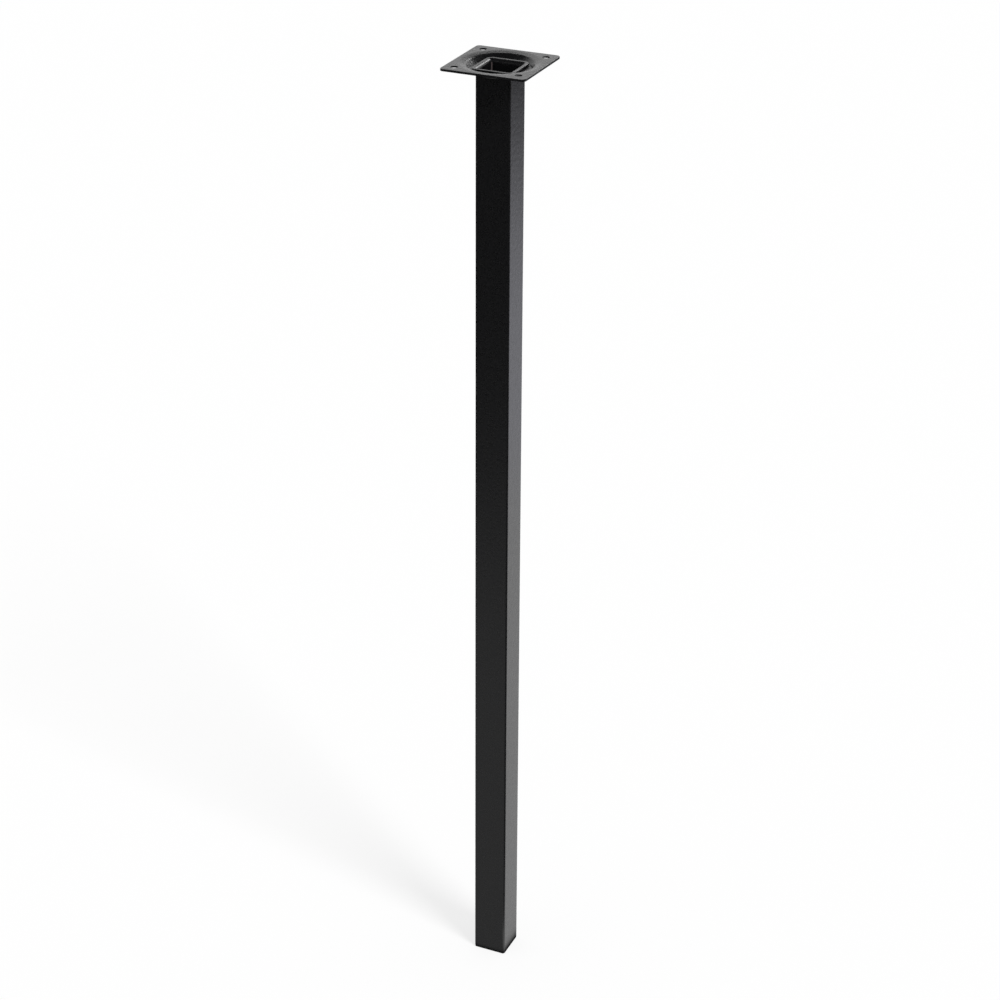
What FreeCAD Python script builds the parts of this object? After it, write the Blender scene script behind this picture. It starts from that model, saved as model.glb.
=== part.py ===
import FreeCAD, Part
import math
import os

import Sketcher

# Square metal table leg: a square steel tube with a pressed screw-on plate at its top
# and a ribbed plastic plug in its foot. Millimetres, +Z up.
# The origin is the middle of the foot's underside, on the floor.

# Driving dimensions
SIZES = [
    ("leg_height", 700.0, "floor to the top of the plate"),
    ("tube_width", 25.0, "outside of the square tube"),
    ("tube_wall", 1.2, "steel of the tube"),
    ("bore_corner", 0.6, "inside corner radius of the tube"),
    ("plate_width", 60.0, "side of the square plate"),
    ("plate_gauge", 1.5, "steel of the plate"),
    ("plate_corner", 3.0, "corner radius of the plate"),
    ("plate_edge_round", 0.4, "rounding of the plate's top edge"),
    ("brim_width", 4.2, "shallow slope round the dish"),
    ("brim_depth", 0.9, "fall of the shallow slope"),
    ("brim_round", 10.0, "bend from the flat plate to the shallow slope"),
    ("brim_land", 0.5, "flat ring outside that bend"),
    ("dish_wall_angle", 50.0, "slope of the dish's wall, in degrees"),
    ("dish_mouth_round", 3.0, "bend from the shallow slope to the wall"),
    ("dish_heel_bevel", 0.75, "bevel under the foot of the dish's wall"),
    ("dish_floor_land", 1.7, "flat floor outside the corners of the neck"),
    ("neck_gap", 0.05, "play between the neck and the tube"),
    ("neck_rise", 0.8, "neck above the dish's floor"),
    ("neck_flare", 0.8, "bevel of the neck's lower mouth"),
    ("lip_sink", 2.0, "plate's top down to the top of the tube's lip"),
    ("lip_cover", 1.2, "lip, outwards past the neck"),
    ("lip_edge_round", 0.5, "rounding of the lip's outer edge"),
    ("mouth_round", 2.7, "rounding of the tube's mouth, where it curls outwards"),
    ("bead_seat", 0.7, "bead, outwards under the flat of the dish's floor"),
    ("bead_height", 1.5, "bead under the dish's floor"),
    ("bead_side", 0.7, "upright part of the bead's side"),
    ("hole_edge", 7.5, "plate's edge to the middle of a screw hole"),
    ("hole_width", 5.0, "diameter of a screw hole"),
    ("sink_depth", 1.0, "depth of its countersink, in the underside"),
    ("sink_angle", 90.0, "angle of the countersink, in degrees"),
    ("flange_thickness", 1.5, "plug's flange, between the tube and the floor"),
    ("flange_inset", 0.1, "flange, inwards from the tube's side"),
    ("flange_bevel", 0.4, "bevel of the flange's lower edge"),
    ("core_wall", 1.5, "plastic of the plug's core"),
    ("core_corner", 1.5, "outside corner radius of the core"),
    ("core_lead", 0.5, "chamfer that leads the core into the tube"),
    ("core_tip", 2.7, "plain core between the top rib and the chamfer"),
    ("hollow_corner", 0.7, "corner radius inside the core"),
    ("rib_reach", 1.6, "bore to the core, bridged by the ribs"),
    ("rib_gap", 0.05, "play between the ribs and the bore"),
    ("rib_thickness", 0.8, "one rib"),
    ("rib_start", 2.2, "flange to the lowest rib"),
    ("rib_pitch", 3.6, "from rib to rib"),
    ("rib_count", 4, "number of ribs"),
]

# Lengths that follow from the driving dimensions, each a formula on the sheet
FORMULAS = [
    ("tube_half", "=tube_width / 2"),
    ("tube_corner", "=bore_corner + tube_wall"),
    ("bore_half", "=tube_half - tube_wall"),
    ("neck_half", "=tube_half + neck_gap"),
    ("neck_corner", "=tube_corner + neck_gap"),
    ("neck_side", "=neck_half + plate_gauge"),
    ("neck_side_corner", "=neck_corner + plate_gauge"),
    ("neck_reach", "=(neck_side - neck_side_corner) * sqrt(2) + neck_side_corner"),
    ("neck_top", "=lip_sink + tube_wall"),
    ("lip_half", "=neck_side + lip_cover"),
    ("lip_corner", "=neck_side_corner + lip_cover"),
    ("lip_bend", "=(mouth_round - tube_wall) * (2 - sqrt(2))"),
    ("dish_depth", "=neck_top + neck_rise"),
    ("dish_bottom", "=dish_depth + plate_gauge"),
    ("wall_slope", "=dish_wall_angle * 1 deg"),
    ("brim_slope", "=atan(brim_depth / brim_width)"),
    ("mouth_lean", "=(wall_slope + brim_slope) / 2"),
    ("mouth_turn", "=(wall_slope - brim_slope) / 2"),
    ("floor_edge", "=neck_reach + dish_floor_land"),
    ("mouth_edge", "=floor_edge + (dish_depth - brim_depth) / tan(wall_slope)"),
    ("brim_edge", "=mouth_edge + brim_width"),
    ("dish_rim", "=brim_edge + brim_round * tan(brim_slope / 2) + brim_land"),
    ("heel_edge", "=floor_edge + plate_gauge * tan(wall_slope / 2)"),
    ("heel_run", "=dish_heel_bevel * cos(wall_slope)"),
    ("heel_lift", "=dish_heel_bevel * sin(wall_slope)"),
    ("mouth_shift", "=plate_gauge * sin(mouth_lean) / cos(mouth_turn)"),
    ("mouth_drop", "=plate_gauge * cos(mouth_lean) / cos(mouth_turn)"),
    ("brim_shift", "=plate_gauge * tan(brim_slope / 2)"),
    ("bead_half", "=neck_half + neck_flare + bead_seat"),
    ("bead_corner", "=neck_corner + neck_flare + bead_seat"),
    ("bead_bevel", "=bead_height - bead_side"),
    ("tube_length", "=leg_height - flange_thickness - lip_sink"),
    ("lip_level", "=tube_length - tube_wall"),
    ("bead_level", "=leg_height - flange_thickness - dish_bottom - bead_height"),
    ("hole_place", "=plate_width / 2 - hole_edge"),
    ("sink_width", "=hole_width + 2 * sink_depth * tan(sink_angle * 1 deg / 2)"),
    ("flange_half", "=tube_half - flange_inset"),
    ("flange_corner", "=tube_corner - flange_inset"),
    ("core_half", "=bore_half - rib_reach"),
    ("hollow_half", "=core_half - core_wall"),
    ("rib_half", "=bore_half - rib_gap"),
    ("rib_corner", "=bore_corner - rib_gap"),
    ("rib_row", "=rib_pitch * (rib_count - 1)"),
    ("core_height", "=rib_start + rib_row + rib_thickness + core_tip + core_lead"),
]

# Two places nearer than this are the same place
TOLERANCE = 1e-4


def fill_sheet(doc):
    """The sheet of sizes: a name, a value or formula, and what it measures."""
    sheet = doc.addObject("Spreadsheet::Sheet", "sizes")
    rows = [(name, str(value), note) for name, value, note in SIZES]
    rows += [(name, formula, "worked out") for name, formula in FORMULAS]
    for row, (name, content, note) in enumerate(rows, start=1):
        sheet.set(f"A{row}", name)
        sheet.set(f"B{row}", content)
        sheet.set(f"C{row}", note)
        sheet.setAlias(f"B{row}", name)
    doc.recompute()
    return sheet


def value_of(sheet, expression):
    """The number that an expression on the sheet gives."""
    result = sheet.evalExpression(expression)
    return float(getattr(result, "Value", result))


def on_sheet(expression):
    """An expression of the sheet's names, written for an object outside the sheet."""
    names = [row[0] for row in SIZES + FORMULAS]
    words = expression.split(" ")
    return " ".join("sizes." + word if word in names else word for word in words)


def new_body(doc, label, level):
    """A sub-part's body, lifted to its level on the leg."""
    body = doc.addObject("PartDesign::Body", label)
    body.Label = label
    body.setExpression(".Placement.Base.z", on_sheet(level))
    return body


def new_sketch(body, name, role="XY_Plane", level=None):
    """A sketch on one of the body's own planes, raised to a level above it."""
    planes = {feature.Role: feature for feature in body.Origin.OriginFeatures}
    sketch = body.newObject("Sketcher::SketchObject", name)
    sketch.AttachmentSupport = [(planes[role], "")]
    sketch.MapMode = "FlatFace"
    if level is not None:
        sketch.setExpression(".AttachmentOffset.Base.z", on_sheet(level))
    return sketch


def hold(sketch, rule, expression):
    """Add a constraint whose size is an expression on the sheet."""
    index = sketch.addConstraint(rule)
    name = f"size{index}"
    sketch.renameConstraint(index, name)
    sketch.setExpression("Constraints." + name, on_sheet(expression))


def hold_point(sketch, sheet, geometry, across, up):
    """Hold a start point at its two distances from the sketch's origin."""
    for kind, axis, expression in (("DistanceX", -2, across), ("DistanceY", -1, up)):
        value = value_of(sheet, expression)
        if abs(value) < TOLERANCE:
            sketch.addConstraint(Sketcher.Constraint("PointOnObject", geometry, 1, axis))
        elif value > 0:
            rule = Sketcher.Constraint(kind, -1, 1, geometry, 1, value)
            hold(sketch, rule, expression)
        else:
            rule = Sketcher.Constraint(kind, geometry, 1, -1, 1, -value)
            hold(sketch, rule, "0 - ( " + expression + " )")


def outline(sketch, sheet, corners):
    """A closed outline. A corner is (across, up), or (across, up, radius) when rounded."""
    count = len(corners)
    spots = [
        FreeCAD.Vector(value_of(sheet, corner[0]), value_of(sheet, corner[1]), 0)
        for corner in corners
    ]
    arcs = []
    arrivals = []
    departures = []
    for index, corner in enumerate(corners):
        here = spots[index]
        if len(corner) < 3:
            arcs.append(None)
            arrivals.append(here)
            departures.append(here)
            continue
        back = (spots[index - 1] - here).normalize()
        ahead = (spots[(index + 1) % count] - here).normalize()
        inward = (back + ahead).normalize()
        half_angle = back.getAngle(ahead) / 2
        radius = value_of(sheet, corner[2])
        arrivals.append(here + back * (radius / math.tan(half_angle)))
        departures.append(here + ahead * (radius / math.tan(half_angle)))
        crown = here + inward * (radius / math.sin(half_angle) - radius)
        arcs.append(Part.Arc(arrivals[index], crown, departures[index]))

    sides = [
        sketch.addGeometry(Part.LineSegment(departures[index], arrivals[(index + 1) % count]), False)
        for index in range(count)
    ]
    for index, corner in enumerate(corners):
        before = sides[index - 1]
        after = sides[index]
        if arcs[index] is None:
            sketch.addConstraint(Sketcher.Constraint("Coincident", before, 2, after, 1))
            hold_point(sketch, sheet, after, corner[0], corner[1])
            continue
        arc = sketch.addGeometry(arcs[index], False)
        starts_here = sketch.getPoint(arc, 1).distanceToPoint(arrivals[index]) < TOLERANCE
        first, last = (1, 2) if starts_here else (2, 1)
        sketch.addConstraint(Sketcher.Constraint("Tangent", before, 2, arc, first))
        sketch.addConstraint(Sketcher.Constraint("Tangent", after, 1, arc, last))
        rule = Sketcher.Constraint("Radius", arc, value_of(sheet, corner[2]))
        hold(sketch, rule, corner[2])
        point = sketch.addGeometry(Part.Point(spots[index]), True)
        sketch.addConstraint(Sketcher.Constraint("PointOnObject", point, 1, before))
        sketch.addConstraint(Sketcher.Constraint("PointOnObject", point, 1, after))
        hold_point(sketch, sheet, point, corner[0], corner[1])


def rounded_square(sketch, sheet, half, radius):
    """A square about the sketch's origin with four rounded corners."""
    less = "0 - " + half
    outline(sketch, sheet, [
        (half, less, radius),
        (half, half, radius),
        (less, half, radius),
        (less, less, radius),
    ])


def circles(sketch, sheet, centres, width):
    """Circles of one width, held at their centres."""
    for across, up in centres:
        centre = FreeCAD.Vector(value_of(sheet, across), value_of(sheet, up), 0)
        radius = value_of(sheet, width) / 2
        circle = sketch.addGeometry(Part.Circle(centre, FreeCAD.Vector(0, 0, 1), radius), False)
        rule = Sketcher.Constraint("Diameter", circle, 2 * radius)
        hold(sketch, rule, width)
        point = sketch.addGeometry(Part.Point(centre), True)
        sketch.addConstraint(Sketcher.Constraint("Coincident", circle, 3, point, 1))
        hold_point(sketch, sheet, point, across, up)


def pad(body, sketch, name, length):
    feature = body.newObject("PartDesign::Pad", name)
    feature.Profile = sketch
    feature.setExpression("Length", on_sheet(length))
    body.Document.recompute()
    return feature


def square_pad(body, sheet, name, half, radius, level, length):
    """A rounded square block that stands on a level."""
    sketch = new_sketch(body, name + "_outline", level=level)
    rounded_square(sketch, sheet, half, radius)
    return pad(body, sketch, name, length)


def square_pocket(body, sheet, name, half, radius, level, depth=None):
    """A rounded square hollow cut down from a level, right through if no depth is given."""
    sketch = new_sketch(body, name + "_outline", level=level)
    rounded_square(sketch, sheet, half, radius)
    feature = body.newObject("PartDesign::Pocket", name)
    feature.Profile = sketch
    if depth is None:
        feature.Type = "ThroughAll"
    else:
        feature.setExpression("Length", on_sheet(depth))
    body.Document.recompute()
    if feature.Shape.Volume > feature.BaseFeature.Shape.Volume - TOLERANCE:
        raise ValueError(name + " cuts nothing")
    return feature


def rim_edges(shape, half, level):
    """Names of the edges of the rounded square rim of this half width at this level."""
    names = []
    for index, edge in enumerate(shape.Edges, start=1):
        if all(
            abs(vertex.Z - level) < TOLERANCE
            and abs(max(abs(vertex.X), abs(vertex.Y)) - half) < TOLERANCE
            for vertex in edge.Vertexes
        ):
            names.append(f"Edge{index}")
    return names


def soften(body, sheet, kind, name, half, level, size):
    """Round (Fillet) or bevel (Chamfer) one rounded square rim of the body."""
    base = body.Tip
    names = rim_edges(base.Shape, value_of(sheet, half), value_of(sheet, level))
    feature = body.newObject("PartDesign::" + kind, name)
    feature.Base = (base, names)
    feature.setExpression("Radius" if kind == "Fillet" else "Size", on_sheet(size))
    body.Document.recompute()
    return feature


def make_tube(doc, sheet):
    """Square tube, cut square at the foot. Its top is beaded below the plate's dish
    and curled outwards over the dish's neck, which holds the plate between the two."""
    body = new_body(doc, "leg_tube", "flange_thickness")
    square_pad(body, sheet, "tube", "tube_half", "tube_corner", "0", "tube_length")
    square_pad(body, sheet, "bead", "bead_half", "bead_corner", "bead_level", "bead_height")
    square_pad(body, sheet, "lip", "lip_half", "lip_corner", "lip_level", "tube_wall")
    square_pocket(body, sheet, "bore", "bore_half", "bore_corner", "tube_length")
    soften(body, sheet, "Fillet", "mouth_curl", "bore_half", "tube_length", "mouth_round")
    soften(body, sheet, "Fillet", "lip_edge", "lip_half", "tube_length", "lip_edge_round")
    soften(body, sheet, "Chamfer", "lip_root", "tube_half", "lip_level", "lip_bend")
    soften(body, sheet, "Chamfer", "bead_underside", "bead_half", "bead_level", "bead_bevel")
    return body


def make_plate(doc, sheet):
    """Pressed square plate: a round dish with soft bends, and in its floor a square
    hole whose edge is drawn up into a neck. The plate's top is its own level zero."""
    body = new_body(doc, "mounting_plate", "leg_height")

    sketch = new_sketch(body, "plate_outline", level="0 - plate_gauge")
    rounded_square(sketch, sheet, "plate_width / 2", "plate_corner")
    circles(sketch, sheet, [("0", "0")], "2 * dish_rim")
    pad(body, sketch, "plate", "plate_gauge")

    section = new_sketch(body, "dish_section", role="XZ_Plane")
    outline(section, sheet, [
        ("dish_rim", "0"),
        ("brim_edge", "0", "brim_round"),
        ("mouth_edge", "0 - brim_depth", "dish_mouth_round"),
        ("floor_edge", "0 - dish_depth"),
        ("0", "0 - dish_depth"),
        ("0", "0 - dish_bottom"),
        ("heel_edge - dish_heel_bevel", "0 - dish_bottom"),
        ("heel_edge + heel_run", "heel_lift - dish_bottom"),
        ("mouth_edge + mouth_shift", "0 - brim_depth - mouth_drop"),
        ("brim_edge + brim_shift", "0 - plate_gauge"),
        ("dish_rim", "0 - plate_gauge"),
    ])
    dish = body.newObject("PartDesign::Revolution", "dish")
    dish.Profile = section
    dish.ReferenceAxis = (section, ["V_Axis"])
    dish.Angle = 360
    doc.recompute()

    square_pad(body, sheet, "neck", "neck_side", "neck_side_corner", "0 - dish_depth",
               "dish_depth - neck_top")
    square_pocket(body, sheet, "square_hole", "neck_half", "neck_corner", "0")
    soften(body, sheet, "Chamfer", "neck_mouth", "neck_half", "0 - dish_bottom", "neck_flare")
    soften(body, sheet, "Chamfer", "neck_seat", "neck_half", "0 - neck_top", "lip_bend")
    soften(body, sheet, "Fillet", "plate_edge", "plate_width / 2", "0", "plate_edge_round")

    sketch = new_sketch(body, "hole_places", level="0 - plate_gauge")
    side = "hole_place"
    other = "0 - hole_place"
    circles(sketch, sheet, [(side, side), (other, side), (other, other), (side, other)],
            "hole_width")
    holes = body.newObject("PartDesign::Hole", "screw_holes")
    holes.Profile = sketch
    doc.recompute()
    holes.Reversed = True
    holes.Threaded = False
    holes.DepthType = "ThroughAll"
    holes.HoleCutType = "Countersink"
    holes.HoleCutCustomValues = True
    holes.setExpression("Diameter", on_sheet("hole_width"))
    holes.setExpression("HoleCutDiameter", on_sheet("sink_width"))
    holes.setExpression("HoleCutCountersinkAngle", on_sheet("sink_angle"))
    doc.recompute()
    return body


def make_plug(doc, sheet):
    """Plastic plug: a flange under the tube's end, and a hollow core with ribs that
    press on the bore."""
    body = new_body(doc, "foot_plug", "0")
    square_pad(body, sheet, "flange", "flange_half", "flange_corner", "0", "flange_thickness")
    square_pad(body, sheet, "core", "core_half", "core_corner", "flange_thickness", "core_height")
    square_pocket(body, sheet, "hollow", "hollow_half", "hollow_corner",
                  "flange_thickness + core_height", "core_height")
    soften(body, sheet, "Chamfer", "flange_edge", "flange_half", "0", "flange_bevel")
    soften(body, sheet, "Chamfer", "lead_in", "core_half", "flange_thickness + core_height",
           "core_lead")

    sketch = new_sketch(body, "rib_outline", level="flange_thickness + rib_start")
    rounded_square(sketch, sheet, "rib_half", "rib_corner")
    rounded_square(sketch, sheet, "hollow_half", "hollow_corner")
    rib = pad(body, sketch, "rib", "rib_thickness")
    ribs = body.newObject("PartDesign::LinearPattern", "ribs")
    ribs.Originals = [rib]
    axes = {feature.Role: feature for feature in body.Origin.OriginFeatures}
    ribs.Direction = (axes["Z_Axis"], [""])
    ribs.setExpression("Length", on_sheet("rib_row"))
    ribs.setExpression("Occurrences", on_sheet("rib_count"))
    body.Tip = ribs
    doc.recompute()
    return body


def check(doc, bodies):
    """Stop if any object failed or any sub-part isn't one valid solid."""
    for obj in doc.Objects:
        if "Invalid" in obj.State or "Error" in obj.State:
            raise ValueError(obj.Name + " failed: " + ", ".join(obj.State))
    for body in bodies:
        shape = body.Shape
        if shape.isNull() or not shape.isValid() or len(shape.Solids) != 1:
            raise ValueError(body.Label + " is not one valid solid")


def main():
    os.makedirs("parts", exist_ok=True)
    doc = FreeCAD.newDocument("square_table_leg")
    sheet = fill_sheet(doc)
    bodies = [make_tube(doc, sheet), make_plate(doc, sheet), make_plug(doc, sheet)]
    doc.recompute()
    check(doc, bodies)
    for body in bodies:
        body.Shape.exportStep("parts/" + body.Label + ".step")
        box = body.Shape.BoundBox
        print(f"{body.Label}: {body.Shape.Volume:.0f} mm3, z {box.ZMin:.2f} to {box.ZMax:.2f}")


main()
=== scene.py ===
# %% [markdown]
# This lesson dresses a square steel table leg for a studio picture. The leg has three
# pieces: a square tube, a pressed plate that is screwed under a table top, and a plastic
# plug in the foot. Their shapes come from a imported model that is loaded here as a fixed
# frame. Everything is in metres. The leg stands on height 0 and the tube runs up the Z
# axis, so a place on it is found from its height and from half the tube's width.

# %% Load the frame
import math

import bpy
from mathutils import Matrix, Vector


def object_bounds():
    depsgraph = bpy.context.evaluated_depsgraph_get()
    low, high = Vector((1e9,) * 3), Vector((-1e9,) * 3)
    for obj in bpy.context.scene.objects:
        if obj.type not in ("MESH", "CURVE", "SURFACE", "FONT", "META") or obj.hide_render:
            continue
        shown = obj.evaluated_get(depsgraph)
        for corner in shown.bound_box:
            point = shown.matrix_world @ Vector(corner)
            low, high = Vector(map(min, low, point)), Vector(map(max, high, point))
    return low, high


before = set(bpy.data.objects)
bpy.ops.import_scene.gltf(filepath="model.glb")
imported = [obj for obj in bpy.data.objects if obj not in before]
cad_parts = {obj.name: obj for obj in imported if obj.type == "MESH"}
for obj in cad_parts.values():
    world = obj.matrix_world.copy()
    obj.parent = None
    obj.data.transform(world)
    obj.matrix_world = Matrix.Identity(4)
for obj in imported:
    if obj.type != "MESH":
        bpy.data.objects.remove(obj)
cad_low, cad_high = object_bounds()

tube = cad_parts["leg_tube"]
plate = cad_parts["mounting_plate"]
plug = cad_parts["foot_plug"]
leg_height = cad_high.z
half_tube = 0.0125
print(f"leg {leg_height * 1000:.0f} mm high, plate {(cad_high.x - cad_low.x) * 1000:.0f} mm wide")

# %% [markdown]
# The camera stands where the photographer stood. A camera that is fitted to known points
# of an object, here the plate's corners and the tube's edges, gives a place, three angles
# and a focal length. It is nicer to keep those than a look-at point, because a look-at
# point hides the small roll that a hand-held camera always has.

# %% Place the camera
camera_place = Vector((0.6175, -1.3922, 1.1496))
camera_heading = math.radians(23.870)
camera_tilt_down = math.radians(26.710)
camera_roll = math.radians(0.322)
sensor_width = 36.0
focal_length = 87.08

bpy.ops.object.select_all(action="DESELECT")
bpy.ops.object.camera_add()
camera = bpy.context.object
camera.data.sensor_width = sensor_width
camera.data.lens = focal_length
camera.matrix_world = (
    Matrix.Translation(camera_place)
    @ Matrix.Rotation(camera_heading, 4, "Z")
    @ Matrix.Rotation(math.pi / 2 - camera_tilt_down, 4, "X")
    @ Matrix.Rotation(camera_roll, 4, "Z")
)
bpy.context.scene.camera = camera
bpy.context.scene.view_settings.view_transform = "Standard"
print(f"camera {camera_place.length:.2f} m from the foot, {focal_length} mm lens")

# %% [markdown]
# A material is a small network of nodes. Written out node by node it is long and hard to
# read, so two helpers come first. A Wire is one output of a node, and it can be added,
# subtracted, multiplied and divided like a number: each of these adds a Math node.

# %% A wire that works like a number
class Wire:
    """One output of a node, which can be used like a number."""

    def __init__(self, finish, socket):
        self.finish = finish
        self.socket = socket

    def math(self, operation, first, second):
        return self.finish.node("ShaderNodeMath", {"operation": operation}, {0: first, 1: second})

    def __add__(self, other):
        return self.math("ADD", self, other)

    def __radd__(self, other):
        return self.math("ADD", other, self)

    def __sub__(self, other):
        return self.math("SUBTRACT", self, other)

    def __rsub__(self, other):
        return self.math("SUBTRACT", other, self)

    def __mul__(self, other):
        return self.math("MULTIPLY", self, other)

    def __rmul__(self, other):
        return self.math("MULTIPLY", other, self)

    def __truediv__(self, other):
        return self.math("DIVIDE", self, other)

    def __rtruediv__(self, other):
        return self.math("DIVIDE", other, self)

    def beside(self, name):
        """Another output of the node that this wire comes from."""
        return Wire(self.finish, self.socket.node.outputs[name])

    def fade(self, start, end):
        """0 up to the start, 1 from the end on, and a soft change between them."""
        return self.finish.node(
            "ShaderNodeMapRange",
            {"interpolation_type": "SMOOTHSTEP"},
            {"Value": self, "From Min": start, "From Max": end},
        )


print("a Wire adds, subtracts, multiplies, divides and fades")

# %% [markdown]
# A Finish is a material, or the world, in the making. Its one method for nodes adds any
# kind of node: first its settings, then what goes into its sockets, be it a value or a
# wire, and it gives back one output as a Wire. A second method mixes two colours.

# %% A finish in the making
class Finish:
    """A material, or a world, in the making."""

    def __init__(self, owner):
        self.owner = owner
        owner.use_nodes = True
        self.tree = owner.node_tree
        self.tree.nodes.clear()

    def node(self, kind, settings=None, sockets=None, output=0):
        """Add a node, set it up, fill its sockets with values or wires, give one output."""
        made = self.tree.nodes.new(kind)
        for name, value in (settings or {}).items():
            setattr(made, name, value)
        for name, value in (sockets or {}).items():
            socket = self.find(made.inputs, name)
            if isinstance(value, Wire):
                self.tree.links.new(value.socket, socket)
            else:
                socket.default_value = value
        return Wire(self, self.find(made.outputs, output)) if made.outputs else None

    def find(self, sockets, name):
        """A socket by its number, or the one of that name that the node's settings show."""
        if isinstance(name, int):
            return sockets[name]
        return next(socket for socket in sockets if socket.name == name and socket.enabled)

    def blend(self, share, first, second):
        """The first colour where the share is 0, and the second where it is 1."""
        colours = {"Factor": share, "A": first, "B": second}
        return self.node("ShaderNodeMix", {"data_type": "RGBA"}, colours, "Result")

    def surface(self, shader):
        """Make a shader the material's surface and give the finished material."""
        self.node("ShaderNodeOutputMaterial", sockets={"Surface": shader})
        return self.owner


def new_finish(name):
    return Finish(bpy.data.materials.new(name))


print("a Finish adds nodes, blends colours and closes with a surface")

# %% [markdown]
# The steel has a black powder coat. Powder melts into a skin that is never quite flat: it
# has fine pebbles, and under them a slow waviness. Both tilt the surface a little this way
# and that, so each spot catches the light differently. That is a bump. The paint's own
# colour hardly changes. How wide the highlight spreads does change, because some spots
# come out smoother than others. The pebbles are coarser on the pressed plate.
#
# A painted highlight runs as a thin pale line down each inner corner of the tube: it
# stands for the light that the corner catches from above. A point is near such a corner
# where its distances from the axis, to the right and ahead, add up to nearly the corner's
# own sum. The outer faces and the curled lip are left out by fades of their own.

# %% Sizes and colours of the powder coat
tube_pebbles = (0.0009, 0.00004)
plate_pebbles = (0.0020, 0.00022)
pebble_detail = 2.0
pebble_harshness = 0.6
wave_width = 0.0026
wave_depth = 0.00008
wave_detail = 1.0
coat_colour = (0.0045, 0.0045, 0.0050, 1.0)
coat_colour_pale = (0.0060, 0.0060, 0.0066, 1.0)
coat_roughness = 0.29
coat_roughness_play = 0.13
coat_bending = 1.55
# Colour of the painted highlight down the tube's inner corners, and where it lies.
corner_highlight_colour = (0.085, 0.068, 0.068, 1.0)
corner_highlight_sum = 0.0226
corner_highlight_width = 0.0004
corner_highlight_wall_outer = half_tube - 0.0008
corner_highlight_wall_inner = half_tube - 0.0010
corner_highlight_top = 0.695
corner_highlight_top_fade = 0.001
print(f"pebbles {tube_pebbles[0] * 1000:.1f} mm wide on the tube, {plate_pebbles[0] * 1000:.1f} mm on the plate")


# %% Black powder coat
def corner_highlight_share(coat, place):
    """1 on a thin line down each inner corner of the tube, where a highlight is painted, and 0 all over the
    rest.
    """
    inside = coat.node("ShaderNodeVectorMath", {"operation": "ABSOLUTE"}, {0: place})
    right = coat.node("ShaderNodeSeparateXYZ", sockets={0: inside}, output="X")
    ahead = right.beside("Y")
    height = right.beside("Z")
    return (
        (right + ahead).fade(corner_highlight_sum - 2 * corner_highlight_width, corner_highlight_sum - corner_highlight_width)
        * right.fade(corner_highlight_wall_outer, corner_highlight_wall_inner)
        * ahead.fade(corner_highlight_wall_outer, corner_highlight_wall_inner)
        * height.fade(corner_highlight_top + corner_highlight_top_fade, corner_highlight_top)
    )


def make_powder_coat(name, pebble_size):
    pebble_width, pebble_depth = pebble_size
    coat = new_finish(name)
    place = coat.node("ShaderNodeTexCoord", output="Object")
    # Where the painted highlight of the inner corners goes.
    corner_highlight = corner_highlight_share(coat, place)
    pebbles = coat.node(
        "ShaderNodeTexNoise",
        sockets={
            "Vector": place,
            "Scale": 1 / pebble_width,
            "Detail": pebble_detail,
            "Roughness": pebble_harshness,
        },
    )
    waves = coat.node(
        "ShaderNodeTexNoise",
        sockets={"Vector": place, "Scale": 1 / wave_width, "Detail": wave_detail},
    )
    wavy = coat.node(
        "ShaderNodeBump",
        sockets={"Strength": 1.0, "Distance": wave_depth, "Height": waves},
    )
    bumpy = coat.node(
        "ShaderNodeBump",
        sockets={"Strength": 1.0, "Distance": pebble_depth, "Height": pebbles, "Normal": wavy},
    )
    paint = coat.blend(pebbles, coat_colour, coat_colour_pale)
    # The painted highlight is laid over the paint on the inner corner lines.
    colour = coat.blend(corner_highlight, paint, corner_highlight_colour)
    gloss = coat_roughness + (waves - 0.5) * coat_roughness_play
    shader = coat.node(
        "ShaderNodeBsdfPrincipled",
        sockets={
            "Base Color": colour,
            "Roughness": gloss,
            "IOR": coat_bending,
            "Normal": bumpy,
        },
    )
    return coat.surface(shader)


tube_coat = make_powder_coat("black_powder_coat", tube_pebbles)
plate_coat = make_powder_coat("black_powder_coat_coarse", plate_pebbles)
print(tube_coat.name, len(tube_coat.node_tree.nodes), "nodes")

# %% [markdown]
# The plug is moulded in black plastic. The mould is eroded by sparks, so the part comes
# out with a fine dull grain, much finer than the paint's pebbles, and with no waviness.
# Its shine is turned down, because a dull grain keeps half of the light to itself.

# %% Moulded plastic
grain_width = 0.0003
grain_depth = 0.00001
grain_detail = 1.0
plastic_colour = (0.003, 0.003, 0.003, 1.0)
plastic_colour_pale = (0.006, 0.006, 0.006, 1.0)
plastic_roughness = 0.55
plastic_roughness_play = 0.10
plastic_bending = 1.46
plastic_shine = 0.25


def make_moulded_plastic():
    plastic = new_finish("black_moulded_plastic")
    place = plastic.node("ShaderNodeTexCoord", output="Object")
    grain = plastic.node(
        "ShaderNodeTexNoise",
        sockets={"Vector": place, "Scale": 1 / grain_width, "Detail": grain_detail},
    )
    bumpy = plastic.node(
        "ShaderNodeBump",
        sockets={"Strength": 1.0, "Distance": grain_depth, "Height": grain},
    )
    colour = plastic.blend(grain, plastic_colour, plastic_colour_pale)
    gloss = plastic_roughness + (grain - 0.5) * plastic_roughness_play
    shader = plastic.node(
        "ShaderNodeBsdfPrincipled",
        sockets={
            "Base Color": colour,
            "Roughness": gloss,
            "IOR": plastic_bending,
            "Specular IOR Level": plastic_shine,
            "Normal": bumpy,
        },
    )
    return plastic.surface(shader)


moulded_plastic = make_moulded_plastic()
print(moulded_plastic.name, len(moulded_plastic.node_tree.nodes), "nodes")

# %% [markdown]
# The meshes of the frame stay as they are. A finish goes into the material slots that
# they already have, which is how a part is repainted without touching its shape.

# %% Give each piece its finish
for piece, finish in ((tube, tube_coat), (plate, plate_coat), (plug, moulded_plastic)):
    for spot in piece.material_slots:
        spot.material = finish
    print(piece.name, "wears", finish.name)

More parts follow.
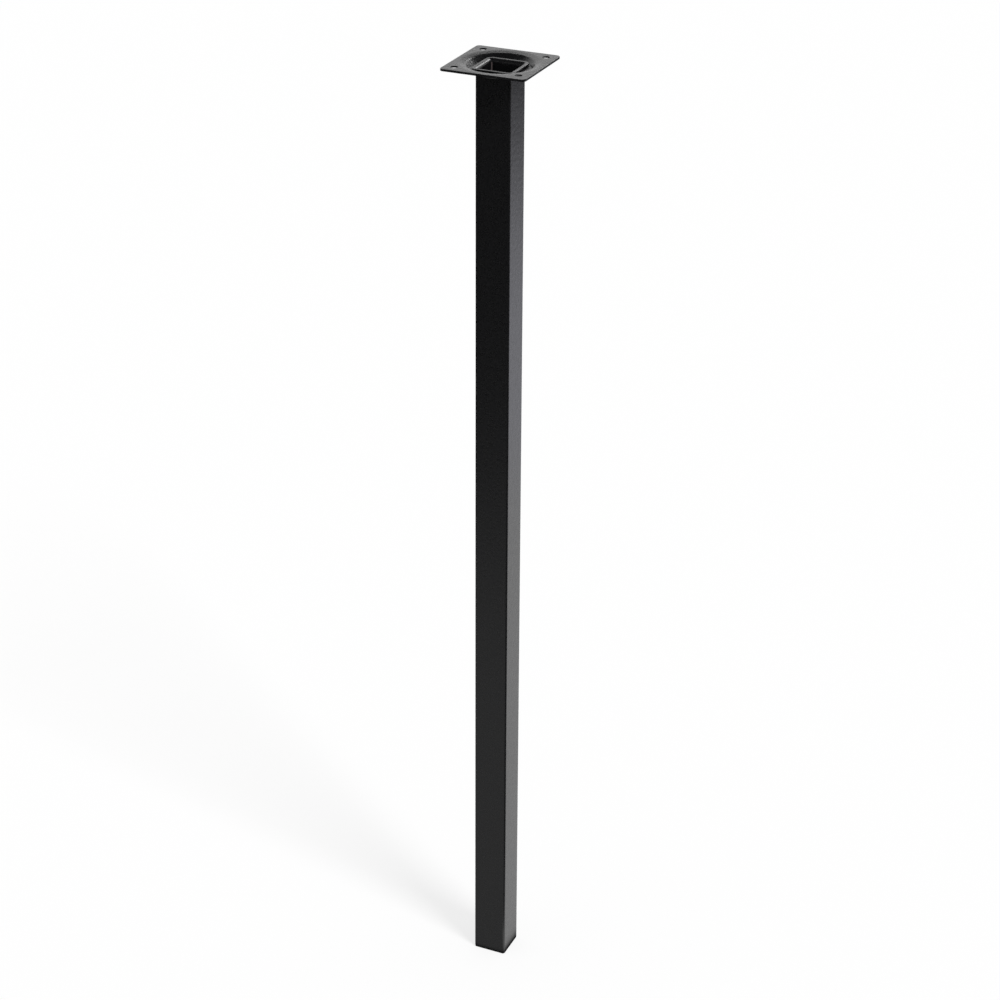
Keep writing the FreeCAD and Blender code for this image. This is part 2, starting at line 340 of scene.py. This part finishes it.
# %% [markdown]
# The studio is a white floor under a white world. The floor has two looks in one. What
# the camera sees straight, in a reflection or through glass is an even white, and a share
# of it is a plain matt surface under the lamps, which is what carries the leg's shadow.
# Every other ray meets the matt surface alone. The floor lies a tenth of a millimetre
# below the foot, so that the two flat faces don't flicker through each other.

# %% White floor
floor_side = 16.0
floor_height = -0.0001
floor_colour = (0.95, 0.95, 0.95, 1.0)
matt_share = 0.25


def seen_share(finish):
    """1 for what is seen straight, mirrored or through glass, and 0 for other light."""
    straight = finish.node("ShaderNodeLightPath", output="Is Camera Ray")
    mirrored = straight.beside("Is Glossy Ray")
    through = straight.beside("Is Transmission Ray")
    clamped_sum = {"operation": "ADD", "use_clamp": True}
    return finish.node("ShaderNodeMath", clamped_sum, {0: straight + mirrored, 1: through})


def make_floor():
    bpy.ops.object.select_all(action="DESELECT")
    bpy.ops.mesh.primitive_plane_add(size=floor_side, location=(0, 0, floor_height))
    floor = bpy.context.object
    floor.name = "floor"
    paper = new_finish("white_floor")
    matt = paper.node("ShaderNodeBsdfDiffuse", sockets={"Color": floor_colour})
    white = paper.node("ShaderNodeEmission", sockets={"Strength": 1.0})
    share = seen_share(paper) * (1 - matt_share)
    mixed = paper.node("ShaderNodeMixShader", sockets={0: share, 1: matt, 2: white})
    floor.data.materials.append(paper.surface(mixed))
    return floor


floor = make_floor()
print(f"{floor.name} {floor_side:.0f} m wide")

# %% [markdown]
# The world is white wherever it is seen, and about half as strong where it only gives
# light, because the main light is to come from one side.

# %% White world
world_colour = (1.0, 1.0, 1.0, 1.0)
world_light = 0.48

world = bpy.data.worlds.new("white_world")
bpy.context.scene.world = world
sky = Finish(world)
strength = world_light + seen_share(sky) * (1 - world_light)
sky_light = {"Color": world_colour, "Strength": strength}
background = sky.node("ShaderNodeBackground", sockets=sky_light)
sky.node("ShaderNodeOutputWorld", sockets={"Surface": background})
print(f"{world.name} gives {world_light:.0%} of the light that it shows")

# %% [markdown]
# The main light comes from the right of the camera, from high up, and gives the faint
# shadow that runs from the foot to the upper left. It is a sun lamp with a wide angle: it
# lights the whole floor evenly, as a large soft box far away would, so that the floor is
# white up to the edges of the picture. It isn't mirrored in the paint: what is mirrored
# there comes with the cards below.

# %% Main light
key_place = Vector((2.7, -1.25, 3.0))
key_aim = Vector((0, 0, 0.3))
key_energy = 2.6
key_angle = math.radians(19)

bpy.ops.object.select_all(action="DESELECT")
bpy.ops.object.light_add(type="SUN", location=key_place)
key_lamp = bpy.context.object
key_lamp.name = "key_lamp"
key_lamp.rotation_euler = (key_aim - key_place).to_track_quat("-Z", "Y").to_euler()
key_lamp.data.energy = key_energy
key_lamp.data.angle = key_angle
key_lamp.visible_glossy = False
print(f"{key_lamp.name} is {math.degrees(key_angle):.0f} degrees wide")

# %% [markdown]
# A black leg shows its surroundings more than itself. In an all white room its edges
# would melt into the white behind it, so photographers put black cards round the thing,
# just out of the picture: each edge then mirrors a card and is drawn as a thin dark line.
# White cards do the opposite and lift what should shine. Only mirrored light meets the
# cards here, so they throw no shadow and don't change the light on the floor.
#
# A card is a plane that is stretched and turned to its place. Three helpers put it there:
# one takes any place and turn, one stands a card upright across the camera's view, and
# one turns a card so that it faces the plate.

# %% Helpers for cards
towards_camera = Matrix.Rotation(camera_heading, 4, "Z")
upright = Matrix.Rotation(math.pi / 2, 4, "X")
plate_middle = Vector((0, 0, leg_height))


def make_card(name, width, length, matrix, finish):
    """A flat card that only mirrored light meets."""
    bpy.ops.object.select_all(action="DESELECT")
    bpy.ops.mesh.primitive_plane_add(size=1, location=(0, 0, 0))
    card = bpy.context.object
    card.name = name
    card.matrix_world = matrix @ Matrix.Diagonal((width, length, 1, 1))
    bpy.ops.object.transform_apply(location=True, rotation=True, scale=True)
    card.data.materials.append(finish)
    card.visible_camera = False
    card.visible_diffuse = False
    card.visible_transmission = False
    card.visible_volume_scatter = False
    card.visible_shadow = False
    return card


def make_standing_card(name, width, length, place, finish):
    """A card that stands upright across the camera's view."""
    return make_card(
        name, width, length, towards_camera @ Matrix.Translation(place) @ upright, finish
    )


def make_aimed_card(name, width, length, place, finish):
    """A card that stands at a place, as the camera sees it, and faces the plate."""
    stand = towards_camera @ place
    turn = (plate_middle - stand).to_track_quat("Z", "Y").to_matrix().to_4x4()
    return make_card(name, width, length, Matrix.Translation(stand) @ turn, finish)


print(f"cards are turned {math.degrees(camera_heading):.1f} degrees, as the camera is")

# %% [markdown]
# A black cloth covers the floor for mirrored light. It has a white opening towards the
# back right, where the right side of the tube finds its light, and a grey patch close in
# front, where the left side looks for its own. Each is a sector: it is full round one
# direction and up to a reach, and fades beyond both. Neither starts right at the tube:
# next to the foot the cloth stays black as a painted shade, standing for the foot's own
# shade on the floor, so the foot mirrors a thin dark line. The opening is a little bluer
# further out.

# %% Sizes and shades of the cloth
black_colour = (0.004, 0.004, 0.004, 1.0)
white_colour = (1.0, 1.0, 1.0, 1.0)
cloth_side = 12.0
cloth_lift = 0.0005
cloth_strength = 1.05
# Painted shade: how far from the tube the cloth stays black beside the foot.
shade_start = half_tube + 0.0005
opening_shade_end = half_tube + 0.005
grey_shade_end = half_tube + 0.004
opening_direction = (0.405, 0.914, 0.0)
opening_apex = (0.028, 0.091, 0.0)
opening_full = math.cos(math.radians(18))
opening_end = math.cos(math.radians(30))
opening_reach = 1.40
opening_reach_end = 2.60
opening_tint = (0.97, 0.97, 1.05, 1.0)
tint_start = 0.70
tint_end = 0.95
grey_direction = (-0.405, -0.914, 0.0)
grey_full = math.cos(math.radians(50))
grey_end = math.cos(math.radians(80))
grey_reach = 0.50
grey_reach_end = 1.08
grey_share = 0.34
print(f"opening up to {opening_reach:.2f} m, grey patch up to {grey_reach:.2f} m")


# %% Black cloth
def sector(cloth, spot, direction, angle_fade, reach_fade):
    """A share that is 1 round a direction and up to a reach, and fades at its edges."""
    distance = cloth.node("ShaderNodeVectorMath", {"operation": "LENGTH"}, {0: spot}, "Value")
    dot = {"operation": "DOT_PRODUCT"}
    along = cloth.node("ShaderNodeVectorMath", dot, {0: spot, 1: direction}, "Value")
    return (along / distance).fade(*angle_fade) * distance.fade(*reach_fade)


def make_cloth_finish():
    """Black cloth with a white opening and a grey patch, both measured from the foot."""
    cloth = new_finish("black_cloth")
    place = cloth.node("ShaderNodeTexCoord", output="Object")
    right = cloth.node("ShaderNodeSeparateXYZ", sockets={0: place}, output="X")
    ahead = right.beside("Y")
    shifted = cloth.node("ShaderNodeVectorMath", {"operation": "ADD"}, {0: place, 1: opening_apex})
    # The fades from the tube's sides leave a painted shade, a black strip beside the foot.
    opening = sector(
        cloth, shifted, opening_direction,
        (opening_end, opening_full), (opening_reach_end, opening_reach),
    ) * right.fade(shade_start, opening_shade_end)
    grey = sector(
        cloth, place, grey_direction,
        (grey_end, grey_full), (grey_reach_end, grey_reach),
    ) * (0 - ahead).fade(shade_start, grey_shade_end)
    share = opening + grey * grey_share
    far = cloth.node("ShaderNodeVectorMath", {"operation": "LENGTH"}, {0: place}, "Value")
    tint = cloth.blend(far.fade(tint_start, tint_end), white_colour, opening_tint)
    black = cloth.node("ShaderNodeBsdfDiffuse", sockets={"Color": black_colour})
    white = cloth.node("ShaderNodeEmission", sockets={"Color": tint, "Strength": cloth_strength})
    return cloth.surface(cloth.node("ShaderNodeMixShader", sockets={0: share, 1: black, 2: white}))


cloth = make_card(
    "black_cloth", cloth_side, cloth_side,
    Matrix.Translation((0, 0, cloth_lift)), make_cloth_finish(),
)
print(f"{cloth.name} {cloth_side:.0f} m wide, {cloth_lift * 1000:.1f} mm up")

# %% [markdown]
# A black screen stands behind the camera, and a black canopy hangs over the leg. The far
# wall of the plate's dish leans back towards the camera, so it mirrors what is overhead:
# the canopy draws it as the dark arc behind the tube's mouth.

# %% Black screen and canopy
screen_distance = 3.2
screen_width = 9.6
screen_height = 5.0
canopy_height = 4.2
canopy_front = 4.4
canopy_back = 3.8


def make_black_finish():
    felt = new_finish("black_felt")
    return felt.surface(felt.node("ShaderNodeBsdfDiffuse", sockets={"Color": black_colour}))


felt = make_black_finish()
screen = make_standing_card(
    "black_screen", screen_width, screen_height,
    (0, -screen_distance, screen_height / 2), felt,
)
canopy = make_card(
    "black_canopy", screen_width, canopy_front + canopy_back,
    towards_camera @ Matrix.Translation((0, (canopy_back - canopy_front) / 2, canopy_height)),
    felt,
)
print(f"{screen.name} {screen_distance} m in front, {canopy.name} {canopy_height} m up")

# %% [markdown]
# Behind the leg stands a white sheet. The flat top of the plate mirrors it, and shows as
# a middle grey. Strips of another brightness hang just before it: the middle one and the
# two at the sides are mirrored in the brim of the dish, which slopes inwards, and the
# upper one in the far brim. Each strip is written as how far aside and how high its
# middle is, how wide and how long it is, and how bright.

# %% White sheet and strips
sheet_distance = 3.4
sheet_width = 7.0
sheet_height = 3.2
sheet_strength = 0.90
strip_distance = 3.3
strips = (
    ("middle_strip", 0.0, 1.10, 1.30, 0.60, 1.3),
    ("left_strip", -0.90, 0.80, 0.50, 0.70, 1.4),
    ("right_strip", 0.90, 0.80, 0.50, 0.70, 1.1),
    ("upper_strip", -1.15, 3.20, 2.70, 1.00, 1.7),
)


def make_white_finish(name, strength):
    white = new_finish(name)
    return white.surface(white.node("ShaderNodeEmission", sockets={"Strength": strength}))


sheet = make_standing_card(
    "white_sheet", sheet_width, sheet_height,
    (0, sheet_distance, sheet_height / 2), make_white_finish("white_sheet", sheet_strength),
)
for name, aside, height, width, length, strength in strips:
    make_standing_card(
        name, width, length, (aside, strip_distance, height), make_white_finish(name, strength)
    )
print(f"{sheet.name} {sheet_distance} m behind, with {len(strips)} strips")

# %% [markdown]
# The rolled lip of the tube slopes on its right and inner sides, and catches a small
# bright soft box high at the back right. The wall of the dish at its left end would catch
# it too, and there it should stay dark, so two black flags stand round the box, one to
# its right and one above it.

# %% Soft box and flags
box_place = Vector((1.62, 2.32, 2.20))
box_width = 1.0
box_length = 0.7
box_strength = 7.0
flags = (
    ("black_flag", 1.9, 1.5, Vector((2.29, 0.97, 2.38))),
    ("upper_flag", 1.2, 0.8, Vector((1.00, 2.40, 2.85))),
)

box = make_aimed_card(
    "soft_box", box_width, box_length, box_place, make_white_finish("soft_box", box_strength)
)
for name, width, length, place in flags:
    make_aimed_card(name, width, length, place, felt)
print(f"{box.name} {box_width} m wide, with {len(flags)} flags")
